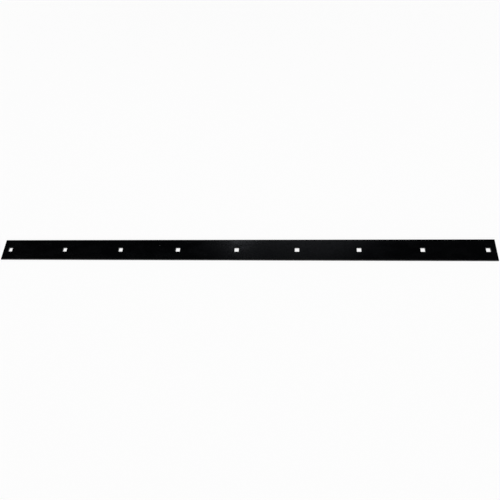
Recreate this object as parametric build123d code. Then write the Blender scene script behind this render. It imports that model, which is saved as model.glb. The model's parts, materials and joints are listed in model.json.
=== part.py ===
from build123d import *
import os
from math import atan, degrees

# A wear bar for the lower edge of a plow blade: one length of rolled flat steel, sheared at both ends
# and punched with a row of square holes for carriage bolts.
# Millimetres. X runs along the bar, Y across it and Z out of its front face.
# The origin is the middle of the back face, which lies against the blade.

# Driving dimensions

width = 76.2
thickness = 6.35

hole_count = 9
hole_pitch = 203.2
end_distance = 25.4  # centre of the last hole to the sheared end

bolt_neck = 12.7  # square neck of the carriage bolt
neck_clearance = 0.8  # on each side of the neck
hole_corner = 0.9  # radius of the punch's corners
punch_land = 2.2  # depth that the punch cuts cleanly, below the front face
die_clearance = 0.4  # how far the die stands back from the punch on each side
punch_roll = 0.5  # radius of the hole's drawn-in front edge

mill_corner = 1.1  # radius that the rolls leave along the four long corners
mill_crown = 0.35  # how far the long edges swell at mid thickness

shear_land = 2.2  # depth that the shear blade cuts cleanly
shear_clearance = 0.4  # set-back of the torn part of a sheared end
shear_roll = 0.6  # radius of the edge that the shear blade draws in

# Worked out from the driving dimensions

hole_size = bolt_neck + 2 * neck_clearance
row_length = (hole_count - 1) * hole_pitch
length = row_length + 2 * end_distance
torn_height = thickness - shear_land
break_height = thickness - punch_land


def rolled_section():
    """The stock's section as it leaves the mill: flat faces, swollen edges and soft corners."""
    half_flat = width / 2 - mill_crown
    with BuildSketch(Plane.YZ) as section:
        with BuildLine():
            Line((-half_flat, 0), (half_flat, 0))
            ThreePointArc(
                (half_flat, 0), (half_flat + mill_crown, thickness / 2), (half_flat, thickness)
            )
            Line((half_flat, thickness), (-half_flat, thickness))
            ThreePointArc(
                (-half_flat, thickness), (-half_flat - mill_crown, thickness / 2), (-half_flat, 0)
            )
        make_face()
        fillet(section.vertices(), mill_corner)
    return section.sketch


def side_profile():
    """The bar seen along Y, each end as a shear leaves it: an edge drawn in where the blade enters,
    a clean land, then a tear that slopes back to the other face. The two cuts enter from opposite
    faces, because the bar stays on the table at one cut and falls at the next."""
    end = length / 2
    half = make_face(
        Polyline(
            (0, 0),
            (end - shear_clearance, 0),
            (end, torn_height),
            (end, thickness),
            (0, thickness),
            close=True,
        )
    )
    entered = half.vertices().group_by(Axis.X)[-1].sort_by(Axis.Y)[-1]
    half = fillet(entered, shear_roll)
    turned = Pos(0, thickness / 2) * Rot(0, 0, 180) * Pos(0, -thickness / 2) * half
    return Plane.XZ * (half + turned)


def sheared_bar():
    """The bar cut from a longer stock."""
    stock = extrude(rolled_section(), amount=length, both=True)
    return stock & extrude(side_profile(), amount=width, both=True)


def hole_cutter():
    """One punched hole: a clean square land below the front face, then a break that widens to the
    size of the die at the back face."""
    corner = RectangleRounded(hole_size, hole_size, hole_corner)
    land = extrude(Pos(0, 0, break_height) * corner, amount=punch_land)
    flare = degrees(atan(die_clearance / break_height))
    tear = extrude(Pos(0, 0, break_height) * corner, amount=-break_height, taper=-flare)
    return land + tear


def punch_holes(bar):
    """The row of holes along the bar's middle, each with its front edge drawn in by the punch."""
    cutter = hole_cutter()
    for place in GridLocations(hole_pitch, 0, hole_count, 1):
        bar = bar - place * cutter
    reach = hole_size / 2 + hole_corner
    mouths = [
        edge
        for edge in bar.edges().group_by(Axis.Z)[-1]
        if abs(edge.center().Y) < reach and abs(edge.center().X) < row_length / 2 + reach
    ]
    return fillet(mouths, punch_roll)


wear_bar = punch_holes(sheared_bar())

os.makedirs("parts", exist_ok=True)
wear_bar.label = "wear_bar"
export_step(wear_bar, "parts/wear_bar.step")
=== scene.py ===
import json
from math import atan2, cos, pi, radians, sin, sqrt

import bpy
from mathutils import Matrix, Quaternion, Vector


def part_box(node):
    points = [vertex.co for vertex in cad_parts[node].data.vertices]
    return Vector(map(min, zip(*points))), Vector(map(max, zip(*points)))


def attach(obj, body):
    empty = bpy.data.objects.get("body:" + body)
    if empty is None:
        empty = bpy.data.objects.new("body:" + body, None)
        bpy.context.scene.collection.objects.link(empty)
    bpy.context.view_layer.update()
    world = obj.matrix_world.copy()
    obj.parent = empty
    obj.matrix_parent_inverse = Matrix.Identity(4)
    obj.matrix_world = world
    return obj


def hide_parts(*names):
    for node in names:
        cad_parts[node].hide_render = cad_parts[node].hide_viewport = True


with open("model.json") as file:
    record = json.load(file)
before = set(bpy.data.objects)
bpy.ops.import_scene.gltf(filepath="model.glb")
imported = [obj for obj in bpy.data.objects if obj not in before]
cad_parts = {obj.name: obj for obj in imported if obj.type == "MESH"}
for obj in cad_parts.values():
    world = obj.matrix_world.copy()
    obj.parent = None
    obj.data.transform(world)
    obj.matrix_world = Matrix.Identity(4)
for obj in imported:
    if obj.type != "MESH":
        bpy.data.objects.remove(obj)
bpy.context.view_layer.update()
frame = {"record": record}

# A plow wear bar: rolled flat steel, sheared to length, punched with square holes and painted black.
# Metres. X runs along the bar, Y across it and Z out of its front face.

MM = 0.001

bar_low, bar_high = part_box("wear_bar")
half_length = (bar_high.x - bar_low.x) / 2
half_width = (bar_high.y - bar_low.y) / 2
thickness = bar_high.z - bar_low.z

hole_places = sorted(
    mount["pos_m"][0]
    for mount in frame["record"]["mounts"]
    if mount["name"].startswith("bolt_hole")
)
hole_count = len(hole_places)
hole_pitch = hole_places[1] - hole_places[0]
end_distance = half_length - hole_places[-1]

# The punched hole

hole_half = 7.15 * MM
hole_corner = 0.9 * MM
punch_roll = 0.5 * MM
punch_land = 2.2 * MM
die_clearance = 0.4 * MM
dish_rows = 5
dish_width = 5 * MM
dish_depth = 0.1 * MM
arris = 0.15 * MM  # radius of the paint over a sharp edge

# The rolled long edges and the sheared ends

mill_corner = 1.1 * MM
mill_crown = 0.35 * MM
shear_land = 2.2 * MM
shear_clearance = 0.4 * MM
shear_roll = 0.6 * MM

# How finely the surfaces are divided

side_steps = 8  # along half a side of a hole
turn_steps = 3  # round half a corner of a hole
across_steps = 2 * (side_steps + turn_steps)
cell_half = 18 * MM  # half the length of bar that is meshed round each hole
step_along = 9 * MM  # between the plain stretches' cross sections
end_split = 4  # times finer across a sheared end than elsewhere


class Skin:
    """The points and faces of a surface. Points that meet become one, and each carries how torn
    the steel is there. A face tells whether a tool cut it."""

    def __init__(self):
        self.index = {}
        self.points = []
        self.torn = []
        self.faces = []
        self.cut = []

    def point(self, place, torn=0.0):
        key = tuple(round(value / MM, 4) for value in place)
        if key not in self.index:
            self.index[key] = len(self.points)
            self.points.append(place)
            self.torn.append(torn)
        return self.index[key]

    def face(self, corners, cut=False):
        self.faces.append(corners)
        self.cut.append(float(cut))

    def sheet(self, rows, closed=False, torn=None, cut=False):
        """Quads between rows of points. They face up where rows go towards +X and points to -Y."""
        torn = torn or [0.0] * len(rows)
        made = [[self.point(place, tear) for place in row] for row, tear in zip(rows, torn)]
        count = len(rows[0])
        for here, there in zip(made, made[1:]):
            for k in range(count if closed else count - 1):
                after = (k + 1) % count
                self.face((here[k], here[after], there[after], there[k]), cut)

    def tube(self, sections):
        """Sheets along each of the four sides of a run of sections."""
        for rows in zip(*sections):
            self.sheet(rows)

    def refine(self, section, finer):
        """Joins a section to one with more points on some sides."""
        for row, fine_row in zip(section, finer):
            here = [self.point(place) for place in row]
            there = [self.point(place) for place in fine_row]
            split = (len(there) - 1) // (len(here) - 1)
            for k in range(len(here) - 1):
                beyond = there[k * split : (k + 1) * split + 1]
                self.face((here[k], here[k + 1], *reversed(beyond)))

    def build(self, name):
        """A Blender object that holds the skin. It is only a source for the bar's node tree."""
        mesh = bpy.data.meshes.new(name)
        mesh.from_pydata(self.points, [], self.faces)
        for attribute, domain, values in (("torn", "POINT", self.torn), ("cut", "FACE", self.cut)):
            mesh.attributes.new(attribute, "FLOAT", domain).data.foreach_set("value", values)
        return bpy.data.objects.new(name, mesh)


def spread(low, high, steps):
    """Evenly spaced values from low to high, both of them included."""
    return [low + (high - low) * n / steps for n in range(steps + 1)]


def arc(centre, radius, start, end, steps):
    """Points of an arc in a plane, from one angle to another."""
    return [
        (centre[0] + radius * cos(angle), centre[1] + radius * sin(angle))
        for angle in spread(start, end, steps)
    ]


def mill_edge():
    """Points (y, z) of the +Y long edge from the back face up to the front face: a corner, the swell
    that the rolls leave, and the other corner. The swell has a point at each depth where a shear's
    clean cut ends."""
    middle = thickness / 2
    swell_radius = (middle**2 + mill_crown**2) / (2 * mill_crown)
    swell_y = half_width - swell_radius
    corner_z = middle - mill_corner
    corner_y = swell_y + sqrt((swell_radius - mill_corner) ** 2 - corner_z**2)
    turn = atan2(corner_z, corner_y - swell_y)
    tangent = swell_radius * sin(turn)
    land = middle - shear_land
    heights = [*spread(-tangent, -land, 3), *spread(-land, land, 4)[1:], *spread(land, tangent, 3)[1:]]
    lower = arc((corner_y, middle - corner_z), mill_corner, -pi / 2, -turn, 8)
    upper = arc((corner_y, middle + corner_z), mill_corner, turn, pi / 2, 8)
    swell = [(swell_y + sqrt(swell_radius**2 - z**2), middle + z) for z in heights[1:-1]]
    return lower + swell + upper


edge = mill_edge()
rim = edge[-1][0]  # half the width of the flat faces
columns = spread(-rim, rim, across_steps)


def section(x, across=columns):
    """The bar's outline at x, or at the x that a function gives for each height, as four rows: the
    +Y edge, the front, the -Y edge and the back."""
    at = x if callable(x) else lambda z: x
    right = [(at(z), y, z) for y, z in edge]
    front = [(at(thickness), y, thickness) for y in reversed(across)]
    left = [(at(z), -y, z) for y, z in reversed(edge)]
    back = [(at(0), y, 0) for y in across]
    return right, front, left, back


def plain_stretch():
    """The bar between two hole cells, from x = 0."""
    length = hole_pitch - 2 * cell_half
    skin = Skin()
    skin.tube([section(x) for x in spread(0, length, round(length / step_along))])
    return skin.build("plain_stretch")


def square_ring(half, corner):
    """Points round a square with rounded corners, from the middle of its +X side."""
    flat = half - corner
    quarter = [(half, flat * n / side_steps) for n in range(side_steps)]
    quarter += arc((flat, flat), corner, 0, pi / 2, 2 * turn_steps)
    quarter += [(flat * n / side_steps, half) for n in range(side_steps - 1, 0, -1)]
    return turned_quarters(quarter)


def turned_quarters(quarter):
    """A quarter of a ring, and the same three times more, each turned a quarter further."""
    ring = list(quarter)
    for _ in range(3):
        quarter = [(-y, x) for x, y in quarter]
        ring += quarter
    return ring


def cell_border():
    """Points round a hole's cell, one for each point of a square ring."""
    ups = spread(0, rim, across_steps // 2)
    alongs = spread(cell_half, 0, across_steps // 2)
    quarter = [(cell_half, y) for y in ups] + [(x, rim) for x in alongs[1:]]
    half = quarter + [(-x, y) for x, y in reversed(quarter[:-1])]
    return half[:-1] + [(-x, -y) for x, y in half[:-1]]


def punch_profile():
    """How a hole's wall runs, from the rim of its dish on the front face to the back face. Each
    entry is the distance outside the hole's clean land, the height and how torn the steel is."""
    land_top = thickness - dish_depth - punch_roll
    break_height = thickness - punch_land
    profile = []
    for share in spread(1, 0, dish_rows):
        z = thickness - dish_depth * (1 - share) ** 2
        profile.append((punch_roll + share * dish_width, z, 0.0))
    for offset, z in arc((punch_roll, land_top), punch_roll, pi / 2, pi, 6)[1:]:
        profile.append((offset, z, 0.0))
    profile.append((0.0, (land_top + break_height) / 2, 0.0))
    for share in spread(0, 1, 8):
        z = break_height * (1 - share) + arris * share
        profile.append((die_clearance * share, z, min(1.0, 6 * share, 4 * (1 - share))))
    for offset, z in arc((die_clearance + arris, arris), arris, pi, 1.5 * pi, 3)[1:]:
        profile.append((offset, z, 0.0))
    return profile


def hole_cell():
    """The bar for a short way each side of a hole, with the hole as the punch left it."""
    border = cell_border()
    profile = punch_profile()
    rings = [
        [(x, y, z) for x, y in square_ring(hole_half + offset, hole_corner + offset)]
        for offset, z, torn in profile
    ]
    torn = [entry[2] for entry in profile]

    def between(ring, share, z):
        return [
            (x + (far_x - x) * share, y + (far_y - y) * share, z)
            for (x, y, _), (far_x, far_y) in zip(ring, border)
        ]

    shares = spread(0, 1, 6)
    front = [between(rings[0], share, thickness) for share in reversed(shares)]
    back = [between(rings[-1], share, 0) for share in shares]
    skin = Skin()
    skin.sheet(rings[dish_rows:], closed=True, torn=torn[dish_rows:], cut=True)
    skin.sheet(front + rings[1 : dish_rows + 1], closed=True)
    skin.sheet(back, closed=True)
    stations = spread(-cell_half, cell_half, across_steps)
    skin.sheet([[(x, y, z) for y, z in edge] for x in stations])
    skin.sheet([[(x, -y, z) for y, z in reversed(edge)] for x in stations])
    return skin.build("hole_cell")


def sheared_end():
    """The bar from a hole's cell to its +X end, as the shear left it: an edge drawn in at the front
    face, a clean land, and a tear that slopes back to the other face. x = 0 is the hole's middle."""
    land_bottom = thickness - shear_land

    def end_at(z):
        reach = end_distance
        if z < land_bottom:
            reach -= shear_clearance * (1 - z / land_bottom)
        if z > thickness - shear_roll:
            reach -= shear_roll - sqrt(max(0.0, shear_roll**2 - (z - thickness + shear_roll) ** 2))
        if z < arris:
            reach -= arris - sqrt(arris**2 - (arris - z) ** 2)
        return reach

    fine_steps = end_split * across_steps
    fine_columns = spread(-rim, rim, fine_steps)
    stations = spread(cell_half, end_distance - 4 * shear_roll, 3)
    near_end = section(end_distance - 2 * shear_roll, fine_columns)
    skin = Skin()
    skin.tube([section(x) for x in stations])
    skin.refine(section(stations[-1]), near_end)
    skin.tube([near_end, section(end_at, fine_columns)])
    face = [[(end_at(z), y * share, z) for share in spread(-1, 1, fine_steps)] for y, z in edge]
    torn = [min(1.0, 3 * z / MM, max(0.0, (land_bottom - z) / MM)) for y, z in edge]
    skin.sheet(face, torn=torn, cut=True)
    return skin.build("sheared_end")


# Node trees

def add(tree, kind, settings=None, **inputs):
    """A node in the tree. An input is a value or another node's output, and an underscore in its name
    stands for a space."""
    node = tree.nodes.new(kind)
    for name, value in (settings or {}).items():
        setattr(node, name, value)
    for name, value in inputs.items():
        feed(tree, node, name.replace("_", " "), value)
    return node


def feed(tree, node, name, value):
    """Sets an input, found by its name or its number, or links an output to it."""
    socket = node.inputs[int(name)] if name.isdigit() else node.inputs[name]
    if isinstance(value, bpy.types.NodeSocket):
        tree.links.new(value, socket)
    else:
        socket.default_value = value


def maths(tree, operation, first, second=0.0, clamp=False):
    """The output of a Math node."""
    node = tree.nodes.new("ShaderNodeMath")
    node.operation = operation
    node.use_clamp = clamp
    feed(tree, node, "0", first)
    feed(tree, node, "1", second)
    return node.outputs[0]


def vector_maths(tree, operation, first, second):
    """The output of a Vector Math node. A Scale takes a number second."""
    node = tree.nodes.new("ShaderNodeVectorMath")
    node.operation = operation
    feed(tree, node, "0", first)
    feed(tree, node, "Scale" if operation == "SCALE" else "1", second)
    return node.outputs[0]


def new_group(name, kind, inputs, outputs):
    """A node group with named sockets, and its input and output nodes."""
    tree = bpy.data.node_groups.new(name, kind)
    for way, sockets in (("INPUT", inputs), ("OUTPUT", outputs)):
        for socket_name, socket_type in sockets:
            tree.interface.new_socket(socket_name, in_out=way, socket_type=socket_type)
    return tree, tree.nodes.new("NodeGroupInput"), tree.nodes.new("NodeGroupOutput")


FLOAT, VECTOR, COLOUR = "NodeSocketFloat", "NodeSocketVector", "NodeSocketColor"
GEOMETRY, OBJECT = "NodeSocketGeometry", "NodeSocketObject"
MATERIAL, INTEGER = "NodeSocketMaterial", "NodeSocketInt"


def punched_bar_tree():
    """Lays the cells, stretches and ends in a row, welds them, and gives the steel its relief."""
    tree, given, result = new_group(
        "punched_bar",
        "GeometryNodeTree",
        [
            ("Geometry", GEOMETRY),
            ("Hole cell", OBJECT),
            ("Plain stretch", OBJECT),
            ("Sheared end", OBJECT),
            ("Hole count", INTEGER),
            ("Hole pitch", FLOAT),
            ("Cell half length", FLOAT),
            ("Thickness", FLOAT),
            ("Weld distance", FLOAT),
            ("Tear depth", FLOAT),
            ("Tear grain", FLOAT),
            ("Ripple depth", FLOAT),
            ("Ripple length", FLOAT),
            ("Sharp turn", FLOAT),
            ("Seed", FLOAT),
            ("Rolled finish", MATERIAL),
            ("Cut finish", MATERIAL),
        ],
        [("Geometry", GEOMETRY)],
    )
    given = given.outputs

    def source(name):
        return add(tree, "GeometryNodeObjectInfo", Object=given[name]).outputs["Geometry"]

    def along(x):
        return add(tree, "ShaderNodeCombineXYZ", X=x).outputs[0]

    def row(count, start, what):
        line = add(
            tree,
            "GeometryNodeMeshLine",
            Count=count,
            Start_Location=along(start),
            Offset=along(given["Hole pitch"]),
        )
        return add(
            tree, "GeometryNodeInstanceOnPoints", Points=line.outputs[0], Instance=what
        ).outputs[0]

    gaps = maths(tree, "SUBTRACT", given["Hole count"], 1)
    last_hole = maths(tree, "MULTIPLY", maths(tree, "MULTIPLY", gaps, given["Hole pitch"]), 0.5)
    first_hole = maths(tree, "MULTIPLY", last_hole, -1)
    cells = row(given["Hole count"], first_hole, source("Hole cell"))
    stretches = row(
        gaps, maths(tree, "ADD", first_hole, given["Cell half length"]), source("Plain stretch")
    )

    # The far end is the same cut turned over, because the shear enters there from the back face.
    end = source("Sheared end")
    right_end = add(
        tree, "GeometryNodeTransform", Geometry=end, Translation=along(last_hole)
    ).outputs[0]
    left_place = add(tree, "ShaderNodeCombineXYZ", X=first_hole, Z=given["Thickness"]).outputs[0]
    left_end = add(
        tree,
        "GeometryNodeTransform",
        Geometry=end,
        Translation=left_place,
        Rotation=(0, pi, 0),
    ).outputs[0]

    joined = add(tree, "GeometryNodeJoinGeometry")
    for part in (cells, stretches, right_end, left_end):
        tree.links.new(part, joined.inputs[0])
    realized = add(tree, "GeometryNodeRealizeInstances", Geometry=joined.outputs[0]).outputs[0]
    welded = add(
        tree,
        "GeometryNodeMergeByDistance",
        Geometry=realized,
        Distance=given["Weld distance"],
    ).outputs[0]

    # Paint draws back from an edge that stands out, so each point keeps how sharply it turns there.
    angles = add(tree, "GeometryNodeInputMeshEdgeAngle").outputs
    marked = add(
        tree,
        "GeometryNodeStoreNamedAttribute",
        {"data_type": "FLOAT", "domain": "POINT"},
        Geometry=welded,
        Name="thin",
        Value=maths(tree, "DIVIDE", angles["Signed Angle"], given["Sharp turn"], clamp=True),
    ).outputs[0]

    # Relief goes into the steel only, so that the bar keeps its size.
    place = add(tree, "GeometryNodeInputPosition").outputs[0]
    torn = add(tree, "GeometryNodeInputNamedAttribute", Name="torn").outputs[0]

    def relief(size, depth, detail, share):
        noise = add(
            tree,
            "ShaderNodeTexNoise",
            {"noise_dimensions": "4D"},
            Vector=place,
            W=given["Seed"],
            Scale=maths(tree, "DIVIDE", 1, size),
            Detail=detail,
        ).outputs[0]
        return maths(tree, "MULTIPLY", maths(tree, "MULTIPLY", noise, depth), share)

    ragged = add(
        tree,
        "ShaderNodeTexNoise",
        {"noise_dimensions": "4D"},
        Vector=place,
        W=given["Seed"],
        Scale=maths(tree, "DIVIDE", 0.3, given["Tear grain"]),
        Detail=2.0,
    ).outputs[0]
    torn = maths(tree, "MULTIPLY", torn, maths(tree, "MULTIPLY", ragged, 2.6), clamp=True)
    tear = relief(given["Tear grain"], given["Tear depth"], 3, torn)
    even = maths(tree, "SUBTRACT", 1, torn)
    ripple = relief(given["Ripple length"], given["Ripple depth"], 1, even)
    normal = add(tree, "GeometryNodeInputNormal").outputs[0]
    sink = maths(tree, "MULTIPLY", maths(tree, "ADD", tear, ripple), -1)
    moved = add(
        tree,
        "GeometryNodeSetPosition",
        Geometry=marked,
        Offset=vector_maths(tree, "SCALE", normal, sink),
    ).outputs[0]

    smooth = add(tree, "GeometryNodeSetShadeSmooth", {"domain": "FACE"}, Geometry=moved).outputs[0]
    crisp = add(
        tree,
        "GeometryNodeSetShadeSmooth",
        {"domain": "EDGE"},
        Geometry=smooth,
        Selection=maths(tree, "GREATER_THAN", angles["Unsigned Angle"], radians(35)),
        Shade_Smooth=False,
    ).outputs[0]
    rolled = add(
        tree, "GeometryNodeSetMaterial", Geometry=crisp, Material=given["Rolled finish"]
    ).outputs[0]
    cut = add(tree, "GeometryNodeInputNamedAttribute", Name="cut").outputs[0]
    finished = add(
        tree,
        "GeometryNodeSetMaterial",
        Geometry=rolled,
        Selection=maths(tree, "GREATER_THAN", cut, 0.5),
        Material=given["Cut finish"],
    ).outputs[0]
    tree.links.new(finished, result.inputs[0])
    return tree


def make_bar(rolled_finish, cut_finish):
    """The dressed bar as one plain mesh."""
    tree = punched_bar_tree()
    values = {
        "Hole cell": hole_cell(),
        "Plain stretch": plain_stretch(),
        "Sheared end": sheared_end(),
        "Hole count": hole_count,
        "Hole pitch": hole_pitch,
        "Cell half length": cell_half,
        "Thickness": thickness,
        "Weld distance": 0.01 * MM,
        "Tear depth": 0.35 * MM,
        "Tear grain": 1.2 * MM,
        "Ripple depth": 0.04 * MM,
        "Ripple length": 60 * MM,
        "Sharp turn": radians(7),
        "Seed": 7.0,
        "Rolled finish": rolled_finish,
        "Cut finish": cut_finish,
    }
    source = bpy.data.objects.new("punched_bar", bpy.data.meshes.new("punched_bar"))
    bpy.context.scene.collection.objects.link(source)
    modifier = source.modifiers.new("punched_bar", "NODES")
    modifier.node_group = tree
    for socket in tree.interface.items_tree:
        if socket.in_out == "INPUT" and socket.name in values:
            modifier[socket.identifier] = values[socket.name]
    bpy.context.view_layer.update()
    seen = source.evaluated_get(bpy.context.evaluated_depsgraph_get())
    mesh = bpy.data.meshes.new_from_object(seen)
    mesh.name = "dressed_bar"
    bpy.data.objects.remove(source)
    bar = bpy.data.objects.new("dressed_bar", mesh)
    bpy.context.scene.collection.objects.link(bar)
    return bar


# Finishes

def object_place(tree):
    return add(tree, "ShaderNodeTexCoord").outputs["Object"]


def noise(tree, place, size, detail=2.0, roughness=0.5):
    """A noise pattern whose lumps are about this large. It has its middle at 0.5."""
    return add(
        tree,
        "ShaderNodeTexNoise",
        Vector=place,
        Scale=maths(tree, "DIVIDE", 1, size),
        Detail=detail,
        Roughness=roughness,
    ).outputs[0]


def total(tree, *parts):
    """The sum of some outputs, each times its share."""
    shares = [maths(tree, "MULTIPLY", output, share) for output, share in parts]
    whole = shares[0]
    for share in shares[1:]:
        whole = maths(tree, "ADD", whole, share)
    return whole


def paint_skin_group():
    """The surface of a sprayed coat: orange peel, over a finer grain and longer waves."""
    tree, given, result = new_group(
        "paint_skin",
        "ShaderNodeTree",
        [("Place", VECTOR), ("Peel size", FLOAT), ("Grain share", FLOAT), ("Wave share", FLOAT)],
        [("Height", FLOAT), ("Grain", FLOAT)],
    )
    given = given.outputs
    peel = noise(tree, given["Place"], given["Peel size"])
    grain = noise(tree, given["Place"], maths(tree, "MULTIPLY", given["Peel size"], 0.25), 3.0)
    waves = noise(tree, given["Place"], maths(tree, "MULTIPLY", given["Peel size"], 5), 1.0)
    height = total(tree, (peel, 1), (grain, given["Grain share"]), (waves, given["Wave share"]))
    tree.links.new(height, result.inputs["Height"])
    tree.links.new(grain, result.inputs["Grain"])
    return tree


def rolled_steel_group():
    """What shows through the paint of the steel below: streaks drawn out along the bar by the rolls,
    low blotches where scale flaked off before painting, and the mottle of the scale itself."""
    tree, given, result = new_group(
        "rolled_steel",
        "ShaderNodeTree",
        [
            ("Place", VECTOR),
            ("Streak width", FLOAT),
            ("Blotch size", FLOAT),
            ("Mottle size", FLOAT),
        ],
        [("Streaks", FLOAT), ("Blotch", FLOAT), ("Mottle", FLOAT)],
    )
    given = given.outputs
    drawn = vector_maths(tree, "MULTIPLY", given["Place"], (0.06, 1.0, 1.0))
    streaks = noise(tree, drawn, given["Streak width"], 4.0)
    flat = vector_maths(tree, "MULTIPLY", given["Place"], (0.4, 1.0, 1.0))
    blotches = noise(tree, flat, given["Blotch size"], 5.0, 0.6)
    mottle = noise(tree, given["Place"], given["Mottle size"], 4.0, 0.68)
    tree.links.new(streaks, result.inputs["Streaks"])
    tree.links.new(smooth_step(tree, blotches, 0.42, 0.62), result.inputs["Blotch"])
    tree.links.new(smooth_step(tree, mottle, 0.3, 0.7), result.inputs["Mottle"])
    return tree


def spots_group():
    """Small round spots strewn at random, such as pits in the steel or nibs in the paint."""
    tree, given, result = new_group(
        "spots",
        "ShaderNodeTree",
        [("Place", VECTOR), ("Spacing", FLOAT), ("Radius", FLOAT), ("Share", FLOAT)],
        [("Spots", FLOAT)],
    )
    given = given.outputs
    cells = add(
        tree,
        "ShaderNodeTexVoronoi",
        Vector=given["Place"],
        Scale=maths(tree, "DIVIDE", 1, given["Spacing"]),
    ).outputs
    away = maths(tree, "MULTIPLY", cells["Distance"], given["Spacing"])
    lot = add(tree, "ShaderNodeSeparateColor", Color=cells["Color"]).outputs
    radius = maths(tree, "MULTIPLY", given["Radius"], maths(tree, "ADD", lot[1], 0.4))
    round_spot = smooth_step(tree, maths(tree, "DIVIDE", away, radius), 1.0, 0.0)
    chosen = maths(tree, "LESS_THAN", lot[0], given["Share"])
    tree.links.new(maths(tree, "MULTIPLY", round_spot, chosen), result.inputs["Spots"])
    return tree


def new_material(name):
    material = bpy.data.materials.new(name)
    material.use_nodes = True
    tree = material.node_tree
    tree.nodes.clear()
    shader = tree.nodes.new("ShaderNodeBsdfPrincipled")
    output = tree.nodes.new("ShaderNodeOutputMaterial")
    tree.links.new(shader.outputs[0], output.inputs[0])
    return material, tree, shader


def use_group(tree, group, **inputs):
    node = tree.nodes.new("ShaderNodeGroup")
    node.node_tree = group
    for name, value in inputs.items():
        feed(tree, node, name.replace("_", " "), value)
    return node.outputs


def mix_colour(tree, share, first, second):
    node = add(tree, "ShaderNodeMix", {"data_type": "RGBA"})
    feed(tree, node, "0", share)
    feed(tree, node, "6", first)
    feed(tree, node, "7", second)
    return node.outputs[2]


def blend(tree, share, low, high):
    """A number that runs from low to high as share runs from 0 to 1."""
    return add(tree, "ShaderNodeMapRange", Value=share, To_Min=low, To_Max=high).outputs[0]


def smooth_step(tree, value, low, high):
    """Runs from 0 to 1 as the value goes from low to high, which may be the smaller one."""
    return add(
        tree,
        "ShaderNodeMapRange",
        {"interpolation_type": "SMOOTHSTEP"},
        Value=value,
        From_Min=low,
        From_Max=high,
    ).outputs[0]


def carve(tree, shader, height):
    """Lets the shader's surface rise and fall by a height in metres."""
    bump = add(tree, "ShaderNodeBump", Strength=1.0, Distance=1.0, Height=height)
    feed(tree, shader, "Normal", bump.outputs[0])


def mesh_value(tree, name):
    return add(tree, "ShaderNodeAttribute", {"attribute_name": name}).outputs["Fac"]


def thin_paint(tree, grain):
    """Where the paint is thin over an edge, broken up by its grain."""
    return smooth_step(tree, total(tree, (mesh_value(tree, "thin"), 0.7), (grain, 0.6)), 0.4, 1.1)


BLACK = (0.0011, 0.0012, 0.0015, 1)
WORN_BLACK = (0.0018, 0.002, 0.0024, 1)
EDGE_BLACK = (0.0062, 0.0064, 0.0068, 1)
FLECK = (0.13, 0.13, 0.132, 1)

fleck_place = (-0.2702, 0.0163, thickness)


def paint_on_rolled_steel(paint_skin, rolled_steel, spots):
    """Thin black paint over the mill's surface."""
    material, tree, shader = new_material("black_paint_on_rolled_steel")
    place = object_place(tree)
    skin = use_group(
        tree, paint_skin, Place=place, Peel_size=1.1 * MM, Grain_share=0.3, Wave_share=1.8
    )
    steel = use_group(
        tree,
        rolled_steel,
        Place=place,
        Streak_width=2.5 * MM,
        Blotch_size=22 * MM,
        Mottle_size=4 * MM,
    )
    pits = use_group(tree, spots, Place=place, Spacing=9 * MM, Radius=0.6 * MM, Share=0.45)
    nibs = use_group(tree, spots, Place=place, Spacing=23 * MM, Radius=0.4 * MM, Share=0.5)

    colour = mix_colour(tree, maths(tree, "MULTIPLY", steel["Blotch"], 0.6), BLACK, WORN_BLACK)
    colour = mix_colour(tree, thin_paint(tree, skin["Grain"]), colour, EDGE_BLACK)
    away = add(tree, "ShaderNodeVectorMath", {"operation": "DISTANCE"})
    feed(tree, away, "0", place)
    feed(tree, away, "1", fleck_place)
    fleck = smooth_step(tree, away.outputs["Value"], 1.0 * MM, 0.5 * MM)
    feed(tree, shader, "Base Color", mix_colour(tree, fleck, colour, FLECK))

    dull = total(tree, (skin["Grain"], 0.6), (steel["Blotch"], 0.4))
    feed(tree, shader, "Roughness", blend(tree, dull, 0.12, 0.28))
    feed(tree, shader, "Specular IOR Level", 0.28)
    patchy = total(tree, (steel["Blotch"], 0.3), (steel["Mottle"], 0.7))
    feed(tree, shader, "Coat Weight", blend(tree, patchy, 0.74, 0.0))
    feed(tree, shader, "Coat Roughness", 0.12)
    height = total(
        tree,
        (skin["Height"], 0.03 * MM),
        (steel["Streaks"], 0.03 * MM),
        (steel["Blotch"], -0.02 * MM),
        (pits["Spots"], -0.05 * MM),
        (nibs["Spots"], 0.04 * MM),
    )
    carve(tree, shader, height)
    return material


def paint_on_cut_steel(paint_skin, rolled_steel, spots):
    """The same paint in the holes and on the ends: scored where the tool rubbed past, and dull and
    coarse where the steel tore."""
    material, tree, shader = new_material("black_paint_on_cut_steel")
    place = object_place(tree)
    scored = vector_maths(tree, "MULTIPLY", place, (1.0, 1.0, 0.12))
    rubbed = use_group(
        tree, paint_skin, Place=scored, Peel_size=0.5 * MM, Grain_share=0.5, Wave_share=1.0
    )
    coarse = use_group(
        tree, paint_skin, Place=place, Peel_size=0.7 * MM, Grain_share=0.6, Wave_share=1.0
    )
    torn = mesh_value(tree, "torn")
    colour = mix_colour(tree, coarse["Grain"], BLACK, WORN_BLACK)
    colour = mix_colour(tree, thin_paint(tree, coarse["Grain"]), colour, EDGE_BLACK)
    feed(tree, shader, "Base Color", colour)
    dull = total(tree, (torn, 0.7), (coarse["Grain"], 0.3))
    feed(tree, shader, "Roughness", blend(tree, dull, 0.16, 0.5))
    feed(tree, shader, "Specular IOR Level", 0.42)
    even = maths(tree, "SUBTRACT", 1, torn)
    scores = maths(tree, "MULTIPLY", rubbed["Height"], even)
    lumps = maths(tree, "MULTIPLY", coarse["Height"], torn)
    carve(tree, shader, total(tree, (scores, 0.015 * MM), (lumps, 0.12 * MM)))
    return material


# Studio

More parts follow.
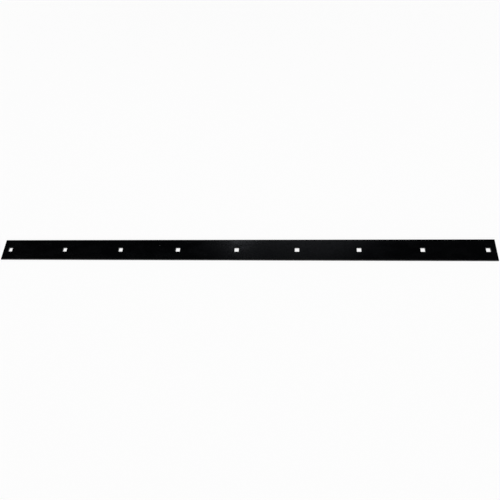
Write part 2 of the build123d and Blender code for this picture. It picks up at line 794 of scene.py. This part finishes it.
floor_glow = 0.85
floor_reach = 25.0
mirror_way = (-0.1, 0.435, 0.895)  # where the middle of the bar sends the camera's line of sight
camera_place = (0.1958, -0.6552, 1.3515)


def white_floor():
    """A broad white floor. Camera and mirror rays see it close to white, and the bar's shadow stays."""
    material, tree, shader = new_material("white_floor")
    feed(tree, shader, "Base Color", (0.93, 0.93, 0.93, 1))
    feed(tree, shader, "Roughness", 0.9)
    feed(tree, shader, "Specular IOR Level", 0.0)
    path = tree.nodes.new("ShaderNodeLightPath").outputs
    seen = maths(tree, "MAXIMUM", path["Is Camera Ray"], path["Is Glossy Ray"])
    seen = maths(tree, "MAXIMUM", seen, path["Is Transmission Ray"])
    glow = add(tree, "ShaderNodeEmission", Color=(1, 1, 1, 1), Strength=1.03)
    mixed = tree.nodes.new("ShaderNodeMixShader")
    feed(tree, mixed, "0", maths(tree, "MULTIPLY", seen, floor_glow))
    tree.links.new(shader.outputs[0], mixed.inputs[1])
    tree.links.new(glow.outputs[0], mixed.inputs[2])
    output = next(node for node in tree.nodes if node.type == "OUTPUT_MATERIAL")
    tree.links.new(mixed.outputs[0], output.inputs[0])

    mesh = bpy.data.meshes.new("floor")
    far = floor_reach
    corners = [(-far, -far, 0), (far, -far, 0), (far, far, 0), (-far, far, 0)]
    mesh.from_pydata(corners, [], [(0, 1, 2, 3)])
    mesh.materials.append(material)
    floor = bpy.data.objects.new("floor", mesh)
    bpy.context.scene.collection.objects.link(floor)


def aim(thing, place, target, roll=0.0):
    """Puts a camera or lamp at place, looking at target, turned about its line of sight."""
    direction = Vector(target) - Vector(place)
    thing.rotation_mode = "QUATERNION"
    thing.location = place
    thing.rotation_quaternion = direction.to_track_quat("-Z", "Y") @ Quaternion((0, 0, 1), roll)


def grey_ramp(tree, value, stops):
    """Grey levels that ease from stop to stop as the value rises."""
    ramp = add(tree, "ShaderNodeValToRGB", Fac=value)
    ramp.color_ramp.interpolation = "EASE"
    elements = ramp.color_ramp.elements
    elements.remove(elements[1])
    elements[0].position = stops[0][0]
    elements[0].color = (stops[0][1],) * 3 + (1,)
    for position, level in stops[1:]:
        elements.new(position).color = (level,) * 3 + (1,)
    return ramp.outputs[0]


def key_light():
    """A broad soft key from behind the camera. It is a sun, so the floor is lit evenly."""
    lamp = bpy.data.lights.new("key", "SUN")
    lamp.energy = 1.1
    lamp.angle = radians(70)
    thing = bpy.data.objects.new("key", lamp)
    bpy.context.scene.collection.objects.link(thing)
    aim(thing, (-0.6, -1.9, 3.4), (0, 0, 0))


def mirrored(x, y, height):
    """The point of a level plane overhead that the camera sees mirrored in the bar at (x, y)."""
    eye_x, eye_y, eye_z = camera_place
    stretch = 1 + height / eye_z
    return (eye_x + (x - eye_x) * stretch, eye_y + (y - eye_y) * stretch, height)


def sheen_card(name, height, corners, across, up):
    """A dim card overhead, for the bar to mirror. Its corners are points of the bar where its
    reflection is to lie, from the near left round to the far left. Its light goes by two ramps."""
    mesh = bpy.data.meshes.new(name)
    mesh.from_pydata([mirrored(x, y, height) for x, y in corners], [], [(0, 3, 2, 1)])
    layer = mesh.uv_layers.new(name="card")
    spots = {0: (0, 0), 1: (1, 0), 2: (1, 1), 3: (0, 1)}
    for loop in mesh.loops:
        layer.data[loop.index].uv = spots[loop.vertex_index]
    material = bpy.data.materials.new(name)
    material.use_nodes = True
    tree = material.node_tree
    tree.nodes.clear()
    where = add(tree, "ShaderNodeUVMap", {"uv_map": "card"}).outputs[0]
    split = add(tree, "ShaderNodeSeparateXYZ", Vector=where).outputs
    strength = maths(
        tree, "MULTIPLY", grey_ramp(tree, split["X"], across), grey_ramp(tree, split["Y"], up)
    )
    glow = add(tree, "ShaderNodeEmission", Color=(0.94, 0.98, 1.08, 1), Strength=strength)
    output = tree.nodes.new("ShaderNodeOutputMaterial")
    tree.links.new(glow.outputs[0], output.inputs[0])
    mesh.materials.append(material)
    card = bpy.data.objects.new(name, mesh)
    bpy.context.scene.collection.objects.link(card)
    card.visible_camera = False
    card.visible_shadow = False


def studio_world():
    """Pale round the horizon, and bright overhead but for the part that the bar's face mirrors into
    the camera, which stays dark."""
    world = bpy.data.worlds.new("studio")
    bpy.context.scene.world = world
    world.use_nodes = True
    tree = world.node_tree
    tree.nodes.clear()
    direction = add(tree, "ShaderNodeTexCoord").outputs["Generated"]
    height = add(tree, "ShaderNodeSeparateXYZ", Vector=direction).outputs["Z"]
    horizon = grey_ramp(tree, height, [(0.0, 0.975), (0.2, 0.93), (0.3, 0.6), (0.52, 0.004)])
    overhead = smooth_step(tree, height, 0.5, 0.68)
    towards = add(tree, "ShaderNodeVectorMath", {"operation": "DOT_PRODUCT"})
    feed(tree, towards, "0", direction)
    feed(tree, towards, "1", mirror_way)
    unmirrored = smooth_step(tree, towards.outputs["Value"], cos(radians(42)), cos(radians(56)))
    ceiling = maths(tree, "MULTIPLY", maths(tree, "MULTIPLY", overhead, unmirrored), 1.4)
    level = maths(tree, "ADD", horizon, ceiling)
    background = add(tree, "ShaderNodeBackground", Color=(1, 1, 1, 1), Strength=level)
    output = tree.nodes.new("ShaderNodeOutputWorld")
    tree.links.new(background.outputs[0], output.inputs[0])


def photo_camera():
    """The camera at the photograph's place, aimed at the same point of the bar and tilted as it was."""
    photo_side = 500.0
    photo_focal = 445.94
    data = bpy.data.cameras.new("camera")
    data.sensor_width = 36.0
    data.lens = photo_focal / photo_side * data.sensor_width
    camera = bpy.data.objects.new("camera", data)
    bpy.context.scene.collection.objects.link(camera)
    aim(camera, camera_place, (0.0449, 0.0017, 0.0), radians(-11.58))
    bpy.context.scene.camera = camera


groups = paint_skin_group(), rolled_steel_group(), spots_group()
bar = make_bar(paint_on_rolled_steel(*groups), paint_on_cut_steel(*groups))
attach(bar, "root")
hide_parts("wear_bar")

white_floor()
studio_world()
key_light()
sheen_card(
    "broad_sheen",
    1.5,
    [(-0.01, -0.15), (0.27, -0.15), (0.67, 0.18), (-0.2, 0.18)],
    [(0.0, 0.35), (0.14, 0.5), (0.36, 1.0), (0.5, 1.0), (0.78, 0.47), (0.92, 0.2), (1.0, 0.0)],
    [(0.0, 0.0), (1.0, 0.37)],
)
sheen_card(
    "small_sheen",
    1.4,
    [(-0.018, 0.011), (0.022, 0.011), (0.069, 0.075), (-0.056, 0.075)],
    [(0.0, 0.0), (0.2, 1.0), (0.8, 1.0), (1.0, 0.0)],
    [(0.0, 0.0), (0.35, 1.6), (1.0, 2.0)],
)
photo_camera()

bpy.context.scene.view_settings.view_transform = "Standard"
